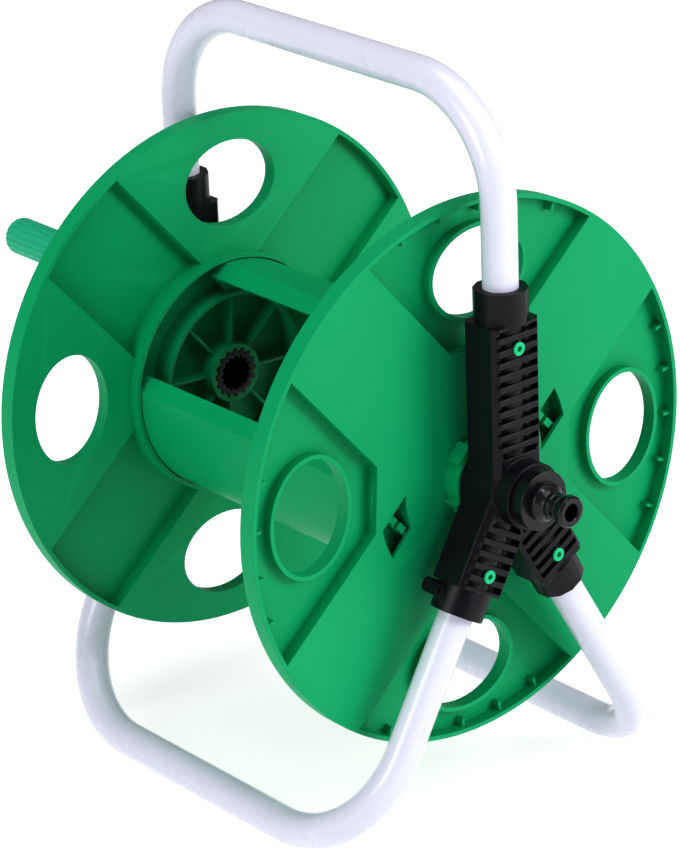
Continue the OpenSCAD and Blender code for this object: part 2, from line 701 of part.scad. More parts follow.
// Crank shaft: splines in the flange, journal in the hub, square end in the crank arm
shaft_rise = 0.3;
shaft_in = ring_edge - shaft_rise;
shaft_wall = 2.6;
tooth_h = 1.3;
square_end = crank_out - seat_gap;
screw_r = 2.5;
screw_len = 20;
screw_head_r = 5;
screw_head_h = 3;
washer_r = 8;
washer_t = 1.2;
module square_x(from, to, w) translate([from, -w / 2, -w / 2]) cube([to - from, w, w]);
module crank_shaft() color([0.07, 0.07, 0.08]) at_axle() other_side() about_axle(drum_turn) difference() {
    union() {
        along_x(shaft_in, flange_boss_end) polygon(spline_points(spline_root_r, spline_tip_r, spline_count));
        rod_x(flange_boss_end, crank_in, journal_r);
        intersection() {
            square_x(crank_in, square_end, square_w);
            rod_x(crank_in, square_end, journal_r);
        }
    }
    along_x(shaft_in - over, plate_out) polygon(spline_points(spline_root_r - shaft_wall - tooth_h,
        spline_root_r - shaft_wall, spline_count));
    rod_x(square_end - screw_len - over, square_end + over, screw_r + fit_gap);
}
// Crank arm: hub end on the square, knob end at the crank radius
arm_hub_r = 15;
arm_tip_r = 11;
arm_taper_share = 0.75;
module crank_arm() color([0, 0.6, 0.35]) at_axle() other_side() about_axle(drum_turn) difference() {
    about_axle(crank_turn) union() {
        rod_x(crank_in, crank_out, arm_hub_r);
        translate([0, crank_r, 0]) rod_x(crank_in, crank_out, arm_tip_r);
        along_x(crank_in, crank_out) polygon([[0, arm_hub_r * arm_taper_share],
            [crank_r, arm_tip_r * arm_taper_share], [crank_r, -arm_tip_r * arm_taper_share],
            [0, -arm_hub_r * arm_taper_share]]);
    }
    square_x(crank_in - over, crank_out + over, square_w + 2 * fit_gap);
    about_axle(crank_turn) translate([0, crank_r, 0])
        rod_x(crank_in - over, crank_out + over, bolt_r + fit_gap);
}
module crank_washer() color("silver") at_axle() other_side()
    ring_x(crank_out, crank_out + washer_t, washer_r, screw_r + fit_gap);
module crank_screw() color("silver") at_axle() other_side() {
    rod_x(square_end - screw_len, crank_out + washer_t, screw_r);
    rod_x(crank_out + washer_t, crank_out + washer_t + screw_head_h, screw_head_r);
}

// Knob: turns on a bolt that a nut holds behind the crank arm
bolt_r = 3;
bolt_head_r = 5.2;
bolt_head_h = 3;
nut_w = 10;
nut_h = 4;
nut_sides = 6;
cap_r = 7.4;
cap_t = 3;
cap_gap = 1;
recess = bolt_head_h + cap_t + cap_gap + run_gap;
module at_knob() at_axle() other_side() about_axle(drum_turn + crank_turn) translate([0, crank_r, 0])
    children();
module knob_bolt() color("silver") at_knob() {
    rod_x(crank_in - nut_h, knob_out - cap_t - cap_gap, bolt_r);
    rod_x(knob_out - cap_t - cap_gap - bolt_head_h, knob_out - cap_t - cap_gap, bolt_head_r);
}
module knob_nut() color("silver") at_knob() translate([crank_in - nut_h, 0, 0]) rotate([0, 90, 0])
    difference() {
        cylinder(h = nut_h, d = nut_w / cos(180 / nut_sides), $fn = nut_sides);
        translate([0, 0, -over]) cylinder(h = nut_h + 2 * over, r = bolt_r + fit_gap);
    }
flute_r = 1;
knob_round = 3;
module crank_knob() color([0.05, 0.6, 0.38]) at_knob() difference() {
    turned_x([[0, knob_in], [knob_r - knob_round / 2, knob_in], [knob_r, knob_in + knob_round / 2],
        [knob_r, knob_out - knob_round], [knob_r - knob_round, knob_out], [0, knob_out]]);
    rod_x(knob_in - over, knob_out + over, bolt_r + fit_gap);
    rod_x(knob_out - recess, knob_out + over, cap_r + fit_gap);
    for (i = [0 : knob_flutes - 1]) rotate([i * 360 / knob_flutes, 0, 0])
        translate([0, knob_r + flute_r / 2, 0]) rod_x(knob_in + knob_round, knob_out - knob_round, flute_r);
}
module knob_cap() color([0.05, 0.55, 0.35]) at_knob() rod_x(knob_out - cap_t, knob_out, cap_r);

handle_tube();
front_leg_tube();
rear_leg_tube();
inlet_hub();
crank_hub();
inlet_tube_pins();
crank_tube_pins();
inlet_clamp_screws();
crank_clamp_screws();
inlet_flange();
crank_flange();
front_core_slat();
rear_core_slat();
inlet_stem();
stem_clip();
stem_o_rings();
inlet_connector();
inlet_connector_seal();
inlet_connector_o_ring();
outlet_elbow();
elbow_screws();
outlet_connector();
outlet_connector_seal();
outlet_connector_o_ring();
crank_shaft();
crank_arm();
crank_screw();
crank_washer();
knob_bolt();
knob_nut();
crank_knob();
knob_cap();
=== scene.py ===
"""Looks of a freestanding garden hose reel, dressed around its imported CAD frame.

The reel has a white tube frame, a green drum that a crank turns, and a black water path.
Everything is in metres in the frame of the CAD model: +X towards the water inlet, +Z up.
"""

import json
import logging
import math
from dataclasses import dataclass, field
from enum import Enum
from typing import NamedTuple, Sequence

import bmesh
import bpy
from mathutils import Matrix, Vector


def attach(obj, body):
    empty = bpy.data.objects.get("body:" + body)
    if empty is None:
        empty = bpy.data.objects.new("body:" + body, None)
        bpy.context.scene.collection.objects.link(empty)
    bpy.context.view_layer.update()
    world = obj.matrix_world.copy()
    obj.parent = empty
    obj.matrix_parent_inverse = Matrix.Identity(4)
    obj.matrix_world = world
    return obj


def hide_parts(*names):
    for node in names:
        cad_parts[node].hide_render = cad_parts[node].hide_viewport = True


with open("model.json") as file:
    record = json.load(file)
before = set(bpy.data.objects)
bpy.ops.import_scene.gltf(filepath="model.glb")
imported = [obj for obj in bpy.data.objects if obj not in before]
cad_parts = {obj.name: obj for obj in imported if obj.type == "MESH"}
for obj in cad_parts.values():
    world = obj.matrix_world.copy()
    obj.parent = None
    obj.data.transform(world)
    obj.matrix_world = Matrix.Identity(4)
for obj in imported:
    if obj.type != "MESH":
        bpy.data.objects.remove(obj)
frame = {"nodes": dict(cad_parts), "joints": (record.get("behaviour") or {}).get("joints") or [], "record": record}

LOG = logging.getLogger("hose_reel")
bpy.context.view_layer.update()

Colour = tuple[float, float, float]
Range = tuple[float, float]
Profile = Sequence[tuple[float, float]]

WHITE: Colour = (1.0, 1.0, 1.0)

# Directions round the axle, +Y towards +Z. The stand's are counted from its own upright.
STAND_LEAN_DEG = 2.4937
HANDLE_DEG = 90.0
FRONT_LEGS_DEG = 240.0
REAR_LEGS_DEG = 300.0
DRUM_TURN_DEG = -1.5

# Tolerances of the mesh work, in metres and degrees.
AXIS_RADIUS = 1e-7
SEAM_GAP = 1e-7
CAD_GAP = 1e-6
CAD_FLAT_DEG = 0.4
CARVED_GAP = 4e-6
CARVED_SLIVER = 2e-6
LEAST_TANGENT = 1e-6


class Body(Enum):
    """The bodies that a piece can ride on."""

    FRAME = "frame"
    DRUM = "drum"
    KNOB = "knob"


class Side(Enum):
    """The two ends of the axle."""

    INLET = 1
    CRANK = -1


@dataclass(frozen=True)
class Pattern:
    """A noise pattern.

    Attributes:
        scale: Cells per metre.
        detail: Octaves.
        roughness: Weight of the finer octaves.
        stretch: Scale along each axis.
    """

    scale: float
    detail: float = 3.0
    roughness: float = 0.55
    stretch: tuple[float, float, float] = (1.0, 1.0, 1.0)


class NodeSheet:
    """A material's node tree, with short calls that add and join nodes."""

    def __init__(self, name: str) -> None:
        """Starts an empty material with a principled shader.

        Args:
            name: The material's name.
        """
        self.material = bpy.data.materials.new(name)
        self.material.use_nodes = True
        self.tree = self.material.node_tree
        self.tree.nodes.clear()
        self.shader = self.tree.nodes.new("ShaderNodeBsdfPrincipled")
        output = self.tree.nodes.new("ShaderNodeOutputMaterial")
        self.tree.links.new(self.shader.outputs["BSDF"], output.inputs["Surface"])
        self.place = self.tree.nodes.new("ShaderNodeTexCoord").outputs["Object"]

    def add(self, kind: str, **settings: object) -> bpy.types.Node:
        """Adds a node and sets its properties.

        Args:
            kind: The node's type name.
            **settings: Properties of the node.

        Returns:
            The new node.
        """
        node = self.tree.nodes.new(kind)
        for key, value in settings.items():
            setattr(node, key, value)
        return node

    def join(self, source: bpy.types.NodeSocket, target: bpy.types.NodeSocket) -> None:
        """Links two sockets."""
        self.tree.links.new(source, target)

    def feed(self, source: bpy.types.NodeSocket, name: str) -> None:
        """Links a socket to one of the shader's, by name."""
        self.join(source, self.shader.inputs[name])

    def set(self, name: str, value: float | Sequence[float]) -> None:
        """Sets one of the shader's own values, by name."""
        self.shader.inputs[name].default_value = value

    def noise(self, pattern: Pattern) -> bpy.types.NodeSocket:
        """Adds a noise pattern that sticks to the object.

        Args:
            pattern: The pattern.

        Returns:
            The pattern's value socket.
        """
        mapping = self.add("ShaderNodeMapping")
        mapping.inputs["Scale"].default_value = pattern.stretch
        self.join(self.place, mapping.inputs["Vector"])
        node = self.add("ShaderNodeTexNoise")
        node.inputs["Scale"].default_value = pattern.scale
        node.inputs["Detail"].default_value = pattern.detail
        node.inputs["Roughness"].default_value = pattern.roughness
        self.join(mapping.outputs["Vector"], node.inputs["Vector"])
        return node.outputs["Fac"]

    def spread(self, value: bpy.types.NodeSocket, low: float, high: float,
               start: float = 0.3, end: float = 0.7) -> bpy.types.NodeSocket:
        """Maps a pattern's range onto another one.

        Args:
            value: The pattern.
            low: Result where the pattern is at start.
            high: Result where the pattern is at end.
            start: Lower end of the pattern's range.
            end: Upper end of the pattern's range.

        Returns:
            The mapped value.
        """
        node = self.add("ShaderNodeMapRange")
        for key, number in (("From Min", start), ("From Max", end),
                            ("To Min", low), ("To Max", high)):
            node.inputs[key].default_value = number
        self.join(value, node.inputs["Value"])
        return node.outputs["Result"]

    def tint(self, factor: bpy.types.NodeSocket, first: Colour,
             second: Colour) -> bpy.types.NodeSocket:
        """Blends two colours by a pattern.

        Args:
            factor: The pattern, 0 for the first colour.
            first: Linear colour.
            second: Linear colour.

        Returns:
            The colour socket.
        """
        node = self.add("ShaderNodeMix", data_type="RGBA")
        node.inputs["A"].default_value = (*first, 1.0)
        node.inputs["B"].default_value = (*second, 1.0)
        self.join(factor, node.inputs["Factor"])
        return node.outputs["Result"]

    def paint_edge_highlight(self, colour: bpy.types.NodeSocket, edge_highlight: Colour, bend: Range,
                   amount: float) -> bpy.types.NodeSocket:
        """Lightens a colour along the convex edges, as a painted highlight where the edges catch the light.

        Args:
            colour: The colour to lighten.
            edge_highlight: Linear colour of the painted highlight on an edge.
            bend: Pointiness where the painted highlight starts, and where it is full.
            amount: Share of the highlight colour at its fullest.

        Returns:
            The colour socket.
        """
        # Painted highlight: the colour is lightened on convex edges, by pointiness.
        shape = self.add("ShaderNodeNewGeometry").outputs["Pointiness"]
        node = self.add("ShaderNodeMix", data_type="RGBA")
        node.inputs["B"].default_value = (*edge_highlight, 1.0)
        self.join(colour, node.inputs["A"])
        self.join(self.spread(shape, 0.0, amount, *bend), node.inputs["Factor"])
        return node.outputs["Result"]

    def bump(self, height: bpy.types.NodeSocket, depth: float, edge: float = 0.0,
             strength: float = 1.0, edge_samples: int = 6) -> None:
        """Gives the surface relief and softened edges.

        Args:
            height: The relief pattern.
            depth: Height of the relief in metres.
            edge: Radius of the softened edges in metres, 0 for none.
            strength: Share of the relief that shows.
            edge_samples: Samples that soften the edges.
        """
        node = self.add("ShaderNodeBump")
        node.inputs["Strength"].default_value = strength
        node.inputs["Distance"].default_value = depth
        self.join(height, node.inputs["Height"])
        if edge > 0.0:
            soft = self.add("ShaderNodeBevel", samples=edge_samples)
            soft.inputs["Radius"].default_value = edge
            self.join(soft.outputs["Normal"], node.inputs["Normal"])
        self.feed(node.outputs["Normal"], "Normal")


@dataclass(frozen=True)
class MouldedPlastic:
    """Injection-moulded plastic: fine skin, slight flow marks, softened edges, painted edge highlights."""

    name: str
    colour: Colour
    flow: Colour
    # Painted highlight: convex edges are lightened towards the next colour, by the share and bend range below.
    edge_highlight: Colour
    gloss: Range
    edge_highlight_share: float = 0.2
    edge_highlight_bend: Range = (0.53, 0.62)
    flow_marks: Pattern = Pattern(9.0, 4.0, 0.6, (1.0, 1.4, 0.7))
    smears: Pattern = Pattern(38.0, 5.0, 0.65)
    skin: Pattern = Pattern(5200.0, 2.0)
    skin_depth: float = 0.000012
    edge: float = 0.0005
    ior: float = 1.3
    coat: float = 0.0
    coat_roughness: float = 0.12
    inner_light: float = 0.0
    inner_colour: Colour = (0.3, 1.0, 0.5)
    inner_depth: float = 0.0012

    def make(self) -> bpy.types.Material:
        """Builds the material.

        Returns:
            The material.
        """
        sheet = NodeSheet(self.name)
        marks = sheet.spread(sheet.noise(self.flow_marks), 0.0, 1.0)
        colour = sheet.tint(marks, self.colour, self.flow)
        # The base colour gets a painted highlight on the convex edges.
        sheet.feed(sheet.paint_edge_highlight(colour, self.edge_highlight, self.edge_highlight_bend, self.edge_highlight_share), "Base Color")
        sheet.feed(sheet.spread(sheet.noise(self.smears), *self.gloss), "Roughness")
        sheet.set("IOR", self.ior)
        sheet.set("Coat Weight", self.coat)
        sheet.set("Coat Roughness", self.coat_roughness)
        if self.inner_light > 0.0:
            sheet.set("Subsurface Weight", self.inner_light)
            sheet.set("Subsurface Radius", self.inner_colour)
            sheet.set("Subsurface Scale", self.inner_depth)
        sheet.bump(sheet.noise(self.skin), self.skin_depth, self.edge)
        return sheet.material


@dataclass(frozen=True)
class PowderCoat:
    """White powder coat over steel tube, with its faint orange peel and scuffs."""

    name: str = "white_powder_coat"
    colour: Colour = (0.67, 0.67, 0.77)
    scuffed: Colour = (0.64, 0.64, 0.73)
    scuffs: Pattern = Pattern(55.0, 6.0, 0.7)
    scuff_share: float = 0.5
    scuff_range: Range = (0.55, 0.85)
    clouds: Pattern = Pattern(24.0, 4.0)
    gloss: Range = (0.2, 0.34)
    ior: float = 1.38
    coat: float = 0.35
    coat_roughness: float = 0.1
    peel: Pattern = Pattern(900.0, 1.5)
    peel_depth: float = 0.00003
    peel_share: float = 0.5

    def make(self) -> bpy.types.Material:
        """Builds the material.

        Returns:
            The material.
        """
        sheet = NodeSheet(self.name)
        marks = sheet.spread(sheet.noise(self.scuffs), 0.0, self.scuff_share, *self.scuff_range)
        sheet.feed(sheet.tint(marks, self.colour, self.scuffed), "Base Color")
        sheet.feed(sheet.spread(sheet.noise(self.clouds), *self.gloss), "Roughness")
        sheet.set("IOR", self.ior)
        sheet.set("Coat Weight", self.coat)
        sheet.set("Coat Roughness", self.coat_roughness)
        sheet.bump(sheet.noise(self.peel), self.peel_depth, strength=self.peel_share)
        return sheet.material


@dataclass(frozen=True)
class ZincSteel:
    """Zinc-plated steel of the screws, with fine turning marks."""

    name: str = "zinc_plated_steel"
    colour: Colour = (0.66, 0.67, 0.69)
    dulled: Colour = (0.50, 0.51, 0.52)
    clouds: Pattern = Pattern(420.0, 5.0, 0.6)
    smears: Pattern = Pattern(260.0, 4.0)
    gloss: Range = (0.24, 0.42)
    turning: Pattern = Pattern(3000.0, 3.0, 0.6, (6.0, 1.0, 1.0))
    turning_depth: float = 0.00001
    edge: float = 0.00015

    def make(self) -> bpy.types.Material:
        """Builds the material.

        Returns:
            The material.
        """
        sheet = NodeSheet(self.name)
        marks = sheet.spread(sheet.noise(self.clouds), 0.0, 1.0)
        sheet.feed(sheet.tint(marks, self.colour, self.dulled), "Base Color")
        sheet.set("Metallic", 1.0)
        sheet.feed(sheet.spread(sheet.noise(self.smears), *self.gloss), "Roughness")
        sheet.bump(sheet.noise(self.turning), self.turning_depth, self.edge)
        return sheet.material


@dataclass(frozen=True)
class SealRubber:
    """Black rubber of the O-rings and flat seals, with a light bloom."""

    name: str = "seal_rubber"
    colour: Colour = (0.012, 0.012, 0.013)
    bloom: Colour = (0.03, 0.03, 0.032)
    dust: Pattern = Pattern(700.0, 4.0)
    dust_share: float = 0.7
    dust_range: Range = (0.4, 0.8)
    smears: Pattern = Pattern(500.0, 3.0)
    gloss: Range = (0.38, 0.55)
    skin: Pattern = Pattern(5000.0, 2.0)
    skin_depth: float = 0.000015

    def make(self) -> bpy.types.Material:
        """Builds the material.

        Returns:
            The material.
        """
        sheet = NodeSheet(self.name)
        marks = sheet.spread(sheet.noise(self.dust), 0.0, self.dust_share, *self.dust_range)
        sheet.feed(sheet.tint(marks, self.colour, self.bloom), "Base Color")
        sheet.feed(sheet.spread(sheet.noise(self.smears), *self.gloss), "Roughness")
        sheet.bump(sheet.noise(self.skin), self.skin_depth)
        return sheet.material


@dataclass(frozen=True)
class PaleFloor:
    """Plain pale studio floor."""

    name: str = "pale_floor"
    colour: Colour = (0.6, 0.6, 0.6)
    glow: float = 0.62
    roughness: float = 0.9
    specular: float = 0.1

    def make(self) -> bpy.types.Material:
        """Builds the material.

        Returns:
            The material.
        """
        sheet = NodeSheet(self.name)
        sheet.set("Base Color", (*self.colour, 1.0))
        sheet.set("Emission Color", (*WHITE, 1.0))
        sheet.set("Emission Strength", self.glow)
        sheet.set("Roughness", self.roughness)
        sheet.set("Specular IOR Level", self.specular)
        return sheet.material


class Finishes:
    """The object's materials, one for each of the record's material slots."""

    def __init__(self) -> None:
        """Builds every material once, and reads which slot each CAD node has."""
        black: Colour = (0.006, 0.005, 0.009)
        black_flow: Colour = (0.008, 0.007, 0.0115)
        # Each plastic's lighter edge colour and its share are a painted highlight on the convex edges.
        recipes = {
            "white_tube": PowderCoat(),
            "black_hub": MouldedPlastic(
                "black_satin_plastic", black, black_flow, edge_highlight=(0.02, 0.02, 0.023),
                gloss=(0.28, 0.4), edge_highlight_share=0.3, skin=Pattern(3800.0, 2.0), skin_depth=0.000015,
                edge=0.0012, ior=1.38),
            "black_water": MouldedPlastic(
                "black_gloss_plastic", black, black_flow, edge_highlight=(0.02, 0.02, 0.022),
                gloss=(0.24, 0.34), coat=0.35, ior=1.4),
            "green_drum": MouldedPlastic(
                "green_drum_plastic", (0.0, 0.335, 0.141), (0.0005, 0.36, 0.156),
                edge_highlight=(0.02, 0.46, 0.22), gloss=(0.36, 0.5)),
            "green_crank": MouldedPlastic(
                "green_crank_plastic", (0.025, 0.43, 0.25), (0.03, 0.45, 0.265),
                edge_highlight=(0.04, 0.48, 0.28), gloss=(0.34, 0.46)),
            "green_pin": MouldedPlastic(
                "light_green_plastic", (0.02, 0.5, 0.25), (0.03, 0.55, 0.28),
                edge_highlight=(0.12, 0.65, 0.4), gloss=(0.28, 0.4), edge_highlight_share=0.15, edge=0.0002,
                inner_light=0.1),
            "zinc_steel": ZincSteel(),
            "seal_rubber": SealRubber(),
        }
        self.by_slot: dict[str, bpy.types.Material] = {
            slot: recipe.make() for slot, recipe in recipes.items()
        }
        self.slot_of_node: dict[str, str] = {
            row["node"]: row["material_slot"] for row in frame["record"]["subparts"]
        }

    def dress(self, piece: bpy.types.Object, slot: str) -> None:
        """Gives a piece the material of a slot.

        Args:
            piece: The piece.
            slot: The record's material slot.
        """
        piece.data.materials.clear()
        piece.data.materials.append(self.by_slot[slot])

    def dress_nodes(self) -> None:
        """Dresses every CAD node, those that stay in view and those that pieces replace."""
        for name, node in frame["nodes"].items():
            node.data.materials.clear()
            node.data.materials.append(self.by_slot[self.slot_of_node[name]])


class Corner(NamedTuple):
    """A corner of a turned outline: distance along the axis, radius and fillet."""

    x: float
    radius: float
    fillet: float = 0.0


def circle(sides: int) -> list[tuple[float, float]]:
    """Points of the unit circle.

    Args:
        sides: Number of points.

    Returns:
        Cosine and sine of each point's angle.
    """
    angles = (2 * math.pi * k / sides for k in range(sides))
    return [(math.cos(a), math.sin(a)) for a in angles]


def quarter(steps: int) -> list[float]:
    """Angles that step through a quarter turn.

    Args:
        steps: Number of steps.

    Returns:
        The angles in radians, without the first and with the last.
    """
    return [math.pi / 2 * k / steps for k in range(1, steps + 1)]


def facing(azimuth_deg: float, elevation_deg: float) -> Vector:
    """The direction from the reel towards a lamp or the camera.

    Args:
        azimuth_deg: Turn from the front towards the inlet side.
        elevation_deg: Angle above the floor.

    Returns:
        A unit vector.
    """
    a, e = math.radians(azimuth_deg), math.radians(elevation_deg)
    return Vector((math.sin(a) * math.cos(e), -math.cos(a) * math.cos(e), math.sin(e)))


def linked(name: str, data: bpy.types.ID) -> bpy.types.Object:
    """Makes an object and links it to the scene.

    Args:
        name: The object's name.
        data: Its mesh, lamp or camera.

    Returns:
        The new object.
    """
    made = bpy.data.objects.new(name, data)
    bpy.context.scene.collection.objects.link(made)
    return made


def finish_mesh(name: str, mesh: bmesh.types.BMesh, sharp_deg: float = 35.0) -> bpy.types.Object:
    """Turns a bmesh into a linked object with smooth faces and sharp edges kept.

    Args:
        name: The piece's name.
        mesh: The bmesh, which is freed.
        sharp_deg: Edges sharper than this stay sharp.

    Returns:
        The new object.
    """
    bmesh.ops.recalc_face_normals(mesh, faces=mesh.faces[:])
    limit = math.radians(sharp_deg)
    for edge in mesh.edges:
        edge.smooth = not (edge.is_manifold and edge.calc_face_angle(0.0) > limit)
    for face in mesh.faces:
        face.smooth = True
    data = bpy.data.meshes.new(name)
    mesh.to_mesh(data)
    mesh.free()
    return linked(name, data)


def add_rings(mesh: bmesh.types.BMesh, rings: Sequence[Sequence[Vector]], capped: bool) -> None:
    """Skins a row of closed rings.

    Args:
        mesh: The bmesh that gets the skin.
        rings: Rings with the same number of points.
        capped: Whether both ends are closed with flat faces.
    """
    rows = [[mesh.verts.new(point) for point in ring] for ring in rings]
    count = len(rows[0])
    for first, second in zip(rows, rows[1:]):
        for i in range(count):
            j = (i + 1) % count
            mesh.faces.new((first[i], first[j], second[j], second[i]))
    if capped:
        mesh.faces.new(list(reversed(rows[0])))
        mesh.faces.new(rows[-1])


def add_lathe(mesh: bmesh.types.BMesh, profile: Profile, place: Matrix, sides: int = 72) -> None:
    """Turns a profile about the local X axis.

    A profile that starts and ends off the axis closes on itself.

    Args:
        mesh: The bmesh that gets the turned form.
        profile: Points of distance along X and radius.
        place: Where the local frame stands.
        sides: Facets round the axis.
    """
    turns = circle(sides)
    rows = []
    for x, radius in profile:
        if radius < AXIS_RADIUS:
            ring = [Vector((x, 0.0, 0.0))]
        else:
            ring = [Vector((x, radius * c, radius * s)) for c, s in turns]
        rows.append([mesh.verts.new(place @ point) for point in ring])
    pairs = list(zip(rows, rows[1:]))
    if len(rows[0]) > 1 and len(rows[-1]) > 1:
        pairs.append((rows[-1], rows[0]))
    for first, second in pairs:
        for k in range(sides):
            n = (k + 1) % sides
            corners = [first[k % len(first)], first[n % len(first)],
                       second[n % len(second)], second[k % len(second)]]
            unique = list(dict.fromkeys(corners))
            if len(unique) > 2:
                mesh.faces.new(unique)


def rounded(corners: Sequence[Corner], steps: int = 4,
            side_share: float = 0.48) -> list[tuple[float, float]]:
    """Rounds the corners of an open outline.

    Args:
        corners: The outline's corners.
        steps: Segments in each fillet.
        side_share: Most of a side that one fillet may take.

    Returns:
        The outline with arcs at its corners.
    """
    result: list[tuple[float, float]] = []
    for i, (x, r, fillet) in enumerate(corners):
        here = Vector((x, r))
        if fillet <= 0.0 or i in (0, len(corners) - 1):
            result.append((x, r))
            continue
        before = Vector(corners[i - 1][:2]) - here
        after = Vector(corners[i + 1][:2]) - here
        half = before.angle(after) / 2
        reach = min(fillet / max(math.tan(half), LEAST_TANGENT),
                    before.length * side_share, after.length * side_share)
        start, end = here + before.normalized() * reach, here + after.normalized() * reach
        for k in range(steps + 1):
            t = k / steps
            point = start * (1 - t) ** 2 + here * 2 * t * (1 - t) + end * t ** 2
            result.append((point.x, point.y))
    return result


def settle(piece: bpy.types.Object) -> None:
    """Puts a piece's modifiers into its mesh.

    Args:
        piece: The piece.
    """
    bpy.context.view_layer.update()
    graph = bpy.context.evaluated_depsgraph_get()
    made = bpy.data.meshes.new_from_object(piece.evaluated_get(graph), depsgraph=graph)
    piece.modifiers.clear()
    piece.data = made


def carve(piece: bpy.types.Object, cutter: bpy.types.Object) -> None:
    """Takes the cutter's form out of a piece and deletes the cutter.

    Args:
        piece: The piece.
        cutter: A closed form.
    """
    cut = piece.modifiers.new("carving", "BOOLEAN")
    cut.operation = "DIFFERENCE"
    cut.solver = "EXACT"
    cut.object = cutter
    settle(piece)
    bpy.data.objects.remove(cutter)
    mesh = bmesh.new()
    mesh.from_mesh(piece.data)
    bmesh.ops.remove_doubles(mesh, verts=mesh.verts[:], dist=CARVED_GAP)
    bmesh.ops.dissolve_degenerate(mesh, edges=mesh.edges[:], dist=CARVED_SLIVER)
    bmesh.ops.triangulate(mesh, faces=mesh.faces[:])
    mesh.to_mesh(piece.data)
    mesh.free()


def stand_for(piece: bpy.types.Object, body: Body, *nodes: str) -> bpy.types.Object:
    """Makes a piece ride on a body in the place of CAD nodes.

    Args:
        piece: The piece.
        body: The body that carries it.
        *nodes: The CAD nodes that it stands for.

    Returns:
        The piece.
    """
    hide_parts(*nodes)
    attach(piece, body.value)
    LOG.info("%s stands for %s on %s", piece.name, ", ".join(nodes), body.value)
    return piece


def moved(x: float = 0.0, y: float = 0.0, z: float = 0.0) -> Matrix:
    """A shift's matrix."""
    return Matrix.Translation((x, y, z))


def turned(degrees: float, axis: str = "X") -> Matrix:
    """A turn's matrix."""
    return Matrix.Rotation(math.radians(degrees), 4, axis)


@dataclass(frozen=True)
class Axle:
    """The line that the drum turns on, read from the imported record."""

    place: Vector = field(default_factory=lambda: Vector(
        next(j["pos_m"] for j in frame["joints"] if j["name"] == "drum_spin")))

    def at(self, x: float = 0.0, turn_deg: float = 0.0) -> Matrix:
        """A frame on the axle.

        Args:
            x: Distance along the axle from the drum's middle.
            turn_deg: Turn about the axle, +Y towards +Z.

        Returns:
            The frame's matrix.
        """
        return Matrix.Translation(self.place) @ turned(turn_deg) @ moved(x)

    def side(self, side: Side) -> Matrix:
        """The axle's frame, mirrored along X for the crank side."""
        return Matrix.Translation(self.place) @ Matrix.Diagonal((side.value, 1.0, 1.0, 1.0))


AXLE = Axle()


@dataclass(frozen=True)
class TubeLoop:
    """One bent loop of steel tube in a plane through the axle."""

    name: str
    node: str
    direction_deg: float
    reach: float
    bend: float
    half_width: float = 0.131
    radius: float = 0.00949
    start: float = 0.028
    sides: int = 56
    bend_steps: int = 22

    def route(self) -> list[Vector]:
        """The tube's centre line in its own plane: X along the axle, Z outwards.

        Returns:
            Points from one end to the other.
        """
        bend_from = self.reach - self.bend
        points = [Vector((self.half_width, 0.0, z))
                  for z in (self.start, (self.start + bend_from) / 2)]
        for a in [0.0] + quarter(self.bend_steps):
            points.append(Vector((self.half_width - self.bend * (1 - math.cos(a)), 0.0,
                                  bend_from + self.bend * math.sin(a))))
        points.append(Vector((0.0, 0.0, self.reach)))
        return points + [Vector((-p.x, p.y, p.z)) for p in reversed(points[:-1])]

    def build(self, finishes: Finishes) -> bpy.types.Object:
        """Sweeps the tube and dresses it.

        Args:
            finishes: The object's materials.

        Returns:
            The piece.
        """
        place = AXLE.at(0.0, STAND_LEAN_DEG + self.direction_deg - 90.0)
        points = self.route()
        side = Vector((0.0, 1.0, 0.0))
        rings = []
        for i, point in enumerate(points):
            ahead = points[min(i + 1, len(points) - 1)] - points[max(i - 1, 0)]
            out = ahead.normalized().cross(side)
            rings.append([place @ (point + self.radius * (side * c + out * s))
                          for c, s in circle(self.sides)])
        mesh = bmesh.new()
        add_rings(mesh, rings, capped=True)
        piece = finish_mesh(self.name, mesh)
        finishes.dress(piece, "white_tube")
        return stand_for(piece, Body.FRAME, self.node)


@dataclass(frozen=True)
class TubeFrame:
    """The carrying handle and the two leg loops."""

    loops: tuple[TubeLoop, ...] = (
        TubeLoop("handle_loop", "handle_tube", HANDLE_DEG, reach=0.211, bend=0.059),
        TubeLoop("front_leg_loop", "front_leg_tube", FRONT_LEGS_DEG, reach=0.213, bend=0.064),
        TubeLoop("rear_leg_loop", "rear_leg_tube", REAR_LEGS_DEG, reach=0.224, bend=0.055),
    )

    def build(self, finishes: Finishes) -> None:
        """Builds the three loops."""
        for loop in self.loops:
            loop.build(finishes)


@dataclass(frozen=True)
class Moulding:
    """A CAD node's own shape with its edges rounded, as a mould or a press leaves them."""

    name: str
    node: str
    body: Body
    fillet: float = 0.0004
    segments: int = 2
    angle_deg: float = 32.0

    def build(self, finishes: Finishes) -> bpy.types.Object:
        """Copies the node's mesh, rounds its edges and dresses it.

        Args:
            finishes: The object's materials.

        Returns:
            The piece.
        """
        mesh = bmesh.new()
        mesh.from_mesh(frame["nodes"][self.node].data)
        bmesh.ops.remove_doubles(mesh, verts=mesh.verts[:], dist=CAD_GAP)
        bmesh.ops.dissolve_limit(mesh, angle_limit=math.radians(CAD_FLAT_DEG),
                                 use_dissolve_boundaries=False, verts=mesh.verts[:],
                                 edges=mesh.edges[:], delimit=set())
        piece = finish_mesh(self.name, mesh, self.angle_deg)
        bevel = piece.modifiers.new("rounding", "BEVEL")
        bevel.width = self.fillet
        bevel.segments = self.segments
        bevel.limit_method = "ANGLE"
        bevel.angle_limit = math.radians(self.angle_deg)
        bevel.use_clamp_overlap = True
        bevel.harden_normals = True
        settle(piece)
        finishes.dress(piece, finishes.slot_of_node[self.node])
        return stand_for(piece, self.body, self.node)


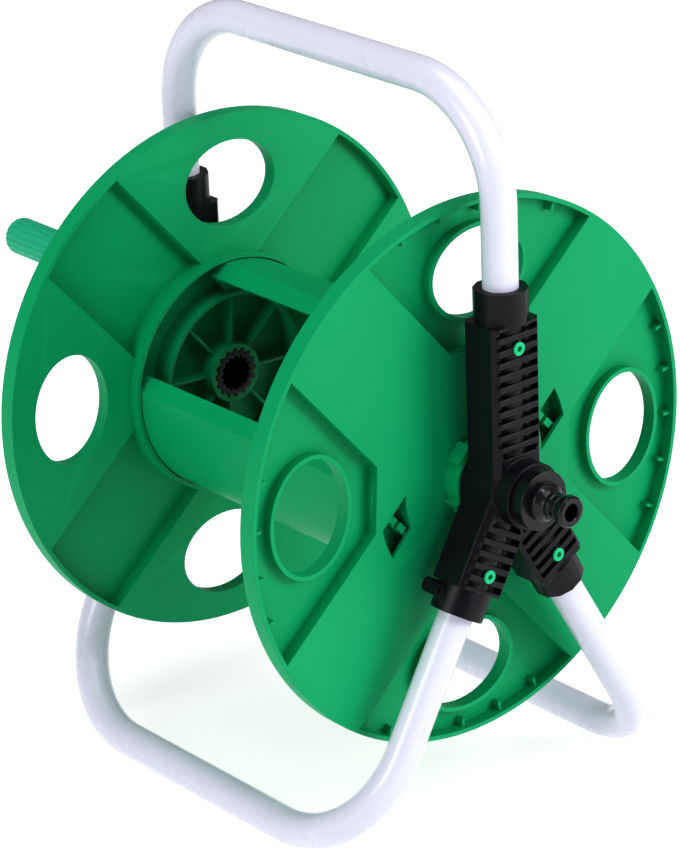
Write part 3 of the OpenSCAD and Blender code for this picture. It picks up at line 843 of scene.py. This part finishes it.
@dataclass(frozen=True)
class Mouldings:
    """Every moulded piece that keeps its CAD shape."""

    pieces: tuple[Moulding, ...] = (
        Moulding("inlet_hub_moulding", "inlet_hub", Body.FRAME, fillet=0.0005),
        Moulding("crank_hub_moulding", "crank_hub", Body.FRAME, fillet=0.0005),
        Moulding("inlet_flange_moulding", "inlet_flange", Body.DRUM),
        Moulding("crank_flange_moulding", "crank_flange", Body.DRUM),
        Moulding("front_slat_moulding", "front_core_slat", Body.DRUM),
        Moulding("rear_slat_moulding", "rear_core_slat", Body.DRUM),
        Moulding("stem_moulding", "inlet_stem", Body.FRAME),
        Moulding("elbow_moulding", "outlet_elbow", Body.DRUM),
        Moulding("shaft_moulding", "crank_shaft", Body.DRUM, fillet=0.0003),
        Moulding("arm_moulding", "crank_arm", Body.DRUM, fillet=0.0008),
    )

    def build(self, finishes: Finishes) -> None:
        """Builds every moulding."""
        for moulding in self.pieces:
            moulding.build(finishes)


@dataclass(frozen=True)
class QuickConnector:
    """A quick connector with a domed foot, a grooved neck and a locking ring.

    Fields that end in at, from or to are distances from the foot's face. The others are radii,
    apart from the length and the depths.
    """

    name: str
    node: str
    body: Body
    place: Matrix
    length: float = 0.021
    foot: float = 0.0106
    foot_to: float = 0.00315
    foot_fillet: float = 0.0014
    dome: float = 0.00848
    dome_at: float = 0.00483
    dome_fillet: float = 0.0018
    shoulder: float = 0.0073
    shoulder_from: float = 0.00693
    shoulder_to: float = 0.00924
    shoulder_fillet: float = 0.0012
    neck: float = 0.0068
    neck_from: float = 0.01008
    neck_to: float = 0.01569
    groove: float = 0.00535
    groove_from: float = 0.01291
    groove_to: float = 0.01481
    groove_fillet: float = 0.0001
    ring: float = 0.0086
    ring_from: float = 0.01659
    ring_to: float = 0.0198
    ring_fillet: float = 0.0005
    nose: float = 0.0075
    nose_fillet: float = 0.0008
    mouth: float = 0.0052
    mouth_depth: float = 0.0007
    bore: float = 0.0045
    bore_fillet: float = 0.0002
    thread: float = 0.00655
    thread_depth: float = 0.0082
    step_fillet: float = 0.0004
    edge_fillet: float = 0.0003
    sharp_deg: float = 40.0

    def outline(self) -> list[tuple[float, float]]:
        """The connector's outline, from the thread's mouth over the outside to its floor.

        Returns:
            Points of distance from the foot's face and radius.
        """
        end = self.length
        return rounded([
            Corner(0.0, self.thread),
            Corner(0.0, self.foot, self.edge_fillet),
            Corner(self.foot_to, self.foot, self.foot_fillet),
            Corner(self.dome_at, self.dome, self.dome_fillet),
            Corner(self.shoulder_from, self.shoulder, self.shoulder_fillet),
            Corner(self.shoulder_to, self.shoulder, self.step_fillet),
            Corner(self.neck_from, self.neck, self.step_fillet),
            Corner(self.groove_from, self.neck, self.groove_fillet),
            Corner(self.groove_from, self.groove, self.groove_fillet),
            Corner(self.groove_to, self.groove, self.groove_fillet),
            Corner(self.groove_to, self.neck, self.groove_fillet),
            Corner(self.neck_to, self.neck, self.edge_fillet),
            Corner(self.ring_from, self.ring, self.ring_fillet),
            Corner(self.ring_to, self.ring, self.nose_fillet),
            Corner(end, self.nose, self.step_fillet),
            Corner(end, self.mouth, self.edge_fillet),
            Corner(end - self.mouth_depth, self.bore, self.bore_fillet),
            Corner(self.thread_depth, self.bore, self.bore_fillet),
            Corner(self.thread_depth, self.thread),
        ])

    def build(self, finishes: Finishes) -> bpy.types.Object:
        """Turns the connector and dresses it.

        Args:
            finishes: The object's materials.

        Returns:
            The piece.
        """
        mesh = bmesh.new()
        add_lathe(mesh, self.outline(), self.place)
        piece = finish_mesh(self.name, mesh, self.sharp_deg)
        finishes.dress(piece, "black_water")
        return stand_for(piece, self.body, self.node)


@dataclass(frozen=True)
class WaterPath:
    """The two quick connectors, one fixed outside and one that turns inside the core."""

    stem_front: float = 0.1609
    elbow_at: float = 0.066
    outlet_from: float = 0.034
    outlet_deg: float = DRUM_TURN_DEG + 135.0

    def build(self, finishes: Finishes) -> None:
        """Builds both connectors.

        Args:
            finishes: The object's materials.
        """
        outward = AXLE.at(self.elbow_at, self.outlet_deg) @ turned(90.0, "Z")
        QuickConnector("inlet_connector_turned", "inlet_connector", Body.FRAME,
                       AXLE.at(self.stem_front)).build(finishes)
        QuickConnector("outlet_connector_turned", "outlet_connector", Body.DRUM,
                       outward @ moved(self.outlet_from)).build(finishes)


@dataclass(frozen=True)
class CrossScrew:
    """A pan-head screw along local X, head at the far end, with a crossed recess.

    The tip's shares are of the shank's radius. The head's and the recess's are of the head's
    radius, apart from those named height or depth.
    """

    shank: float
    length: float
    head: float
    head_height: float
    sides: int = 40
    tip_share: float = 0.7
    taper_share: float = 0.8
    tip_fillet: float = 0.0002
    under_fillet: float = 0.0001
    dome_height_share: float = 0.55
    dome_share: float = 0.45
    brow_drop: float = 0.35
    brow_share: float = 0.93
    brow_fillet: float = 0.0003
    crown_share: float = 0.66
    crown_fillet: float = 0.0005
    slot_share: float = 0.22
    reach_share: float = 0.56
    depth_share: float = 0.6
    floor_share: float = 0.55
    cutter_height_share: float = 1.2

    def add_body(self, mesh: bmesh.types.BMesh, place: Matrix) -> None:
        """Turns the shank and the rounded head.

        Args:
            mesh: The bmesh that gets the screw.
            place: Frame with its origin under the head.
        """
        top, tip = self.head_height, -self.length
        dome = min(top * self.dome_height_share, self.head * self.dome_share)
        outline = rounded([
            Corner(tip, 0.0),
            Corner(tip, self.shank * self.tip_share),
            Corner(tip + self.shank * self.taper_share, self.shank, self.tip_fillet),
            Corner(0.0, self.shank),
            Corner(0.0, self.head, self.under_fillet),
            Corner(top - dome, self.head),
            Corner(top - dome * self.brow_drop, self.head * self.brow_share, self.brow_fillet),
            Corner(top, self.head * self.crown_share, self.crown_fillet),
            Corner(top, 0.0),
        ])
        add_lathe(mesh, outline, place, self.sides)

    def add_cross(self, mesh: bmesh.types.BMesh, place: Matrix) -> None:
        """Adds the tapering crossed form that the recess is carved with.

        Args:
            mesh: The bmesh of the cutter.
            place: Frame with its origin under the head.
        """
        wide, thin = self.head * self.reach_share, self.head * self.slot_share / 2
        floor = self.head_height * (1 - self.depth_share)
        top = self.head_height * self.cutter_height_share
        rings = []
        for x, share in ((floor, self.floor_share), (top, 1.0)):
            corners = [Vector((x, y * share, z * share))
                       for y, z in ((wide, -thin), (wide, thin), (thin, thin))]
            rings.append([place @ turned(90.0 * k) @ corner
                          for k in range(4) for corner in corners])
        add_rings(mesh, rings, capped=True)


@dataclass(frozen=True)
class Fasteners:
    """Green tube pins, and steel screws with crossed recesses.

    A pin's place is its direction and its distance from the axle. A clamp screw's is its
    direction, its distance across the arm and its distance from the axle.
    """

    arm_front: float = 0.1437
    pin_places: tuple[tuple[float, float], ...] = (
        (HANDLE_DEG, 0.0796), (FRONT_LEGS_DEG, 0.0472), (REAR_LEGS_DEG, 0.0507))
    pin_end: float = 0.1381
    pin_shank: float = 0.0026
    pin_head: float = 0.0037
    pin_rise: float = 0.0012
    pin_eye: float = 0.0015
    pin_eye_depth: float = 0.005
    pin_sides: int = 36
    pin_end_fillet: float = 0.0003
    pin_under_fillet: float = 0.0001
    pin_brim_fillet: float = 0.0007
    pin_eye_fillet: float = 0.0004
    pin_floor_fillet: float = 0.0002
    clamp_screw: CrossScrew = CrossScrew(shank=0.0017, length=0.0096, head=0.0032,
                                         head_height=0.0035)
    clamp_under: float = 0.1159
    clamp_places: tuple[tuple[float, float, float], ...] = (
        (FRONT_LEGS_DEG, 0.01245, 0.0626), (REAR_LEGS_DEG, -0.01245, 0.0661))
    elbow_screw: CrossScrew = CrossScrew(shank=0.0017, length=0.0135, head=0.0034,
                                         head_height=0.0022)
    elbow_under: float = 0.0895
    elbow_posts_deg: tuple[float, ...] = (60.0, 180.0, 300.0)
    post_reach: float = 0.024
    crank_screw: CrossScrew = CrossScrew(shank=0.0025, length=0.0214, head=0.005,
                                         head_height=0.003)
    washer_out: float = 0.1625

    def pin_outline(self) -> list[tuple[float, float]]:
        """A pin's outline, from its inner end over the head to the floor of its eye.

        Returns:
            Points of distance along the axle and radius.
        """
        top = self.arm_front + self.pin_rise
        floor = top - self.pin_eye_depth
        return rounded([
            Corner(self.pin_end, 0.0),
            Corner(self.pin_end, self.pin_shank, self.pin_end_fillet),
            Corner(self.arm_front, self.pin_shank),
            Corner(self.arm_front, self.pin_head, self.pin_under_fillet),
            Corner(top, self.pin_head, self.pin_brim_fillet),
            Corner(top, self.pin_eye, self.pin_eye_fillet),
            Corner(floor, self.pin_eye, self.pin_floor_fillet),
            Corner(floor, 0.0),
        ])

    def tube_pins(self, side: Side, finishes: Finishes) -> bpy.types.Object:
        """Turns one hub's three pins.

        Args:
            side: The end of the axle.
            finishes: The object's materials.

        Returns:
            The piece.
        """
        mesh = bmesh.new()
        for turn, reach in self.pin_places:
            place = AXLE.side(side) @ turned(STAND_LEAN_DEG + turn) @ moved(y=reach)
            add_lathe(mesh, self.pin_outline(), place, self.pin_sides)
        label = side.name.lower()
        piece = finish_mesh(f"{label}_pins_turned", mesh)
        finishes.dress(piece, "green_pin")
        return stand_for(piece, Body.FRAME, f"{label}_tube_pins")

    def screws(self, name: str, node: str, body: Body, screw: CrossScrew,
               places: Sequence[Matrix], finishes: Finishes) -> bpy.types.Object:
        """Makes a set of like screws.

        Args:
            name: The piece's name.
            node: The CAD node that it stands for.
            body: The body that carries it.
            screw: The screw's form.
            places: A frame under each head, X pointing out of the head.
            finishes: The object's materials.

        Returns:
            The piece.
        """
        forms, crosses = bmesh.new(), bmesh.new()
        for place in places:
            screw.add_body(forms, place)
            screw.add_cross(crosses, place)
        piece = finish_mesh(name, forms)
        carve(piece, finish_mesh(name + "_recess", crosses))
        finishes.dress(piece, "zinc_steel")
        return stand_for(piece, body, node)

    def clamp_screws(self, side: Side, finishes: Finishes) -> bpy.types.Object:
        """Makes one hub's two clamp screws, heads towards the drum.

        Args:
            side: The end of the axle.
            finishes: The object's materials.

        Returns:
            The piece.
        """
        places = [AXLE.side(side) @ turned(STAND_LEAN_DEG + turn - 90.0)
                  @ moved(self.clamp_under, across, reach) @ turned(180.0, "Y")
                  for turn, across, reach in self.clamp_places]
        label = side.name.lower()
        return self.screws(f"{label}_clamp_screws_crossed", f"{label}_clamp_screws", Body.FRAME,
                           self.clamp_screw, places, finishes)

    def elbow_screws(self, finishes: Finishes) -> bpy.types.Object:
        """Makes the three screws of the outlet elbow, heads towards the core.

        Args:
            finishes: The object's materials.

        Returns:
            The piece.
        """
        places = [AXLE.at(self.elbow_under, DRUM_TURN_DEG + turn)
                  @ moved(y=self.post_reach) @ turned(180.0, "Y")
                  for turn in self.elbow_posts_deg]
        return self.screws("elbow_screws_crossed", "elbow_screws", Body.DRUM,
                           self.elbow_screw, places, finishes)

    def build(self, finishes: Finishes) -> None:
        """Builds every fastener.

        Args:
            finishes: The object's materials.
        """
        for side in Side:
            self.tube_pins(side, finishes)
            self.clamp_screws(side, finishes)
        self.elbow_screws(finishes)
        self.screws("crank_screw_crossed", "crank_screw", Body.DRUM, self.crank_screw,
                    [AXLE.side(Side.CRANK) @ moved(self.washer_out)], finishes)


@dataclass(frozen=True)
class CrankKnob:
    """The fluted knob, with a rounded end and a recess for its cap.

    Fields that end in from or to are distances from the end at the arm. A fade is such a
    distance and the share of the flutes' depth there.
    """

    radius: float = 0.0106
    start: float = 0.1617
    length: float = 0.049
    bore: float = 0.00305
    flutes: int = 18
    flute_depth: float = 0.0005
    flute_narrowing: float = 1.5
    flute_fades: tuple[tuple[float, float], ...] = ((0.0026, 0.2), (0.0034, 0.7), (0.0044, 1.0))
    fluted_from: float = 0.0044
    fluted_to: float = 0.044
    foot_drop: float = 0.0014
    foot_round: float = 0.0012
    end_drop: float = 0.0026
    end_round: float = 0.0045
    lip_drop: float = 0.0029
    recess_wall: float = 0.00745
    recess_depth: float = 0.0074
    flute_samples: int = 8
    foot_steps: int = 4
    grip_steps: int = 8
    end_steps: int = 6
    sharp_deg: float = 40.0
    crank_deg: float = DRUM_TURN_DEG + 135.0
    crank_reach: float = 0.091

    def stations(self) -> list[tuple[float, float, float]]:
        """The knob's outline as x, radius and share of the flutes' depth.

        Returns:
            Stations from the arm's end round to the bore.
        """
        outline = [(0.0, self.bore, 0.0), (0.0, self.radius - self.foot_drop, 0.0)]
        for a in quarter(self.foot_steps):
            outline.append((self.foot_round * (1 - math.cos(a)),
                            self.radius - self.foot_drop * (1 - math.sin(a)), 0.0))
        for x, share in self.flute_fades:
            outline.append((x, self.radius, share))
        grip = self.fluted_to - self.fluted_from
        for k in range(1, self.grip_steps + 1):
            outline.append((self.fluted_from + grip * k / self.grip_steps, self.radius, 1.0))
        for a in quarter(self.end_steps):
            outline.append((self.fluted_to + self.end_round * math.sin(a),
                            self.radius - self.end_drop * (1 - math.cos(a)),
                            math.sqrt(max(0.0, math.cos(a)))))
        floor = self.length - self.recess_depth
        outline += [(self.length, self.radius - self.lip_drop, 0.0),
                    (self.length, self.recess_wall, 0.0),
                    (floor, self.recess_wall, 0.0), (floor, self.bore, 0.0)]
        return [(self.start + x, radius, share) for x, radius, share in outline]

    def build(self, finishes: Finishes) -> bpy.types.Object:
        """Builds the knob.

        Args:
            finishes: The object's materials.

        Returns:
            The piece.
        """
        place = AXLE.side(Side.CRANK) @ turned(self.crank_deg) @ moved(y=self.crank_reach)
        count = self.flutes * self.flute_samples
        mesh = bmesh.new()
        rings = []
        for x, radius, share in self.stations():
            ring = []
            for k in range(count):
                a = 2 * math.pi * k / count
                dip = max(0.0, math.cos(a * self.flutes)) ** self.flute_narrowing
                r = radius - self.flute_depth * share * dip
                ring.append(place @ Vector((x, r * math.cos(a), r * math.sin(a))))
            rings.append(ring)
        add_rings(mesh, rings + rings[:1], capped=False)
        bmesh.ops.remove_doubles(mesh, verts=mesh.verts[:], dist=SEAM_GAP)
        piece = finish_mesh("knob_fluted", mesh, self.sharp_deg)
        finishes.dress(piece, "green_crank")
        return stand_for(piece, Body.KNOB, "crank_knob")


@dataclass(frozen=True)
class SoftBox:
    """One soft square lamp that faces the reel."""

    name: str
    azimuth_deg: float
    elevation_deg: float
    distance: float
    width: float
    power: float
    colour: Colour = WHITE

    def build(self, target: Vector) -> None:
        """Hangs the lamp.

        Args:
            target: The point that it faces.
        """
        away = facing(self.azimuth_deg, self.elevation_deg)
        lamp = bpy.data.lights.new(self.name, "AREA")
        lamp.shape = "SQUARE"
        lamp.size = self.width
        lamp.energy = self.power
        lamp.color = self.colour
        holder = linked(self.name, lamp)
        holder.location = target + away * self.distance
        holder.rotation_euler = away.to_track_quat("Z", "Y").to_euler()


@dataclass(frozen=True)
class Studio:
    """Floor, lamps, surroundings and the camera at the photograph's place."""

    azimuth_deg: float = 49.735
    elevation_deg: float = 21.024
    roll_deg: float = -0.185
    eye: tuple[float, float, float] = (1.4336, -1.2031, 0.9092)
    focal_px: float = 3649.0
    frame_px: float = 848.0
    film: float = 36.0
    clip_end: float = 200.0
    floor_half: float = 60.0
    floor_drop: float = 0.0002
    sky: float = 0.30
    gamma: float = 0.75
    boxes: tuple[SoftBox, ...] = (
        SoftBox("right_softbox", 122.0, 18.0, distance=2.4, width=1.2, power=35.5),
        SoftBox("key_softbox", 92.0, 42.0, distance=2.2, width=0.35, power=5.0),
        SoftBox("top_softbox", 60.0, 82.0, distance=2.4, width=2.0, power=35.0),
        SoftBox("left_softbox", 2.0, 16.0, distance=2.4, width=1.2, power=24.0),
    )

    def camera(self) -> None:
        """Sets the camera."""
        a, r = math.radians(self.azimuth_deg), math.radians(self.roll_deg)
        back = facing(self.azimuth_deg, self.elevation_deg)
        right = Vector((math.cos(a), math.sin(a), 0.0))
        up = back.cross(right)
        across = right * math.cos(r) + up * math.sin(r)
        above = up * math.cos(r) - right * math.sin(r)
        lens = bpy.data.cameras.new("camera")
        lens.sensor_width = self.film
        lens.lens = self.film * self.focal_px / self.frame_px
        lens.clip_end = self.clip_end
        holder = linked("camera", lens)
        basis = Matrix((across, above, back)).transposed().to_4x4()
        holder.matrix_world = Matrix.Translation(self.eye) @ basis
        bpy.context.scene.camera = holder

    def floor(self) -> None:
        """Lays the floor just under the leg loops."""
        mesh = bmesh.new()
        bmesh.ops.create_grid(mesh, x_segments=2, y_segments=2, size=self.floor_half)
        floor = finish_mesh("studio_floor", mesh)
        floor.data.materials.append(PaleFloor().make())
        floor.location.z = -self.floor_drop

    def surroundings(self) -> None:
        """Sets an even pale surrounding light and plain colours."""
        world = bpy.data.worlds.new("surroundings")
        world.use_nodes = True
        background = world.node_tree.nodes["Background"]
        background.inputs["Color"].default_value = (*WHITE, 1.0)
        background.inputs["Strength"].default_value = self.sky
        bpy.context.scene.world = world
        bpy.context.scene.view_settings.view_transform = "Standard"
        bpy.context.scene.view_settings.gamma = self.gamma

    def build(self) -> None:
        """Builds the whole studio."""
        self.surroundings()
        self.floor()
        self.camera()
        for box in self.boxes:
            box.build(AXLE.place)


def main() -> None:
    """Builds the studio and the reel's assemblies in order."""
    logging.basicConfig(level=logging.INFO, format="%(name)s: %(message)s")
    finishes = Finishes()
    finishes.dress_nodes()
    Studio().build()
    TubeFrame().build(finishes)
    Mouldings().build(finishes)
    WaterPath().build(finishes)
    Fasteners().build(finishes)
    CrankKnob().build(finishes)


if __name__ == "__main__":
    main()
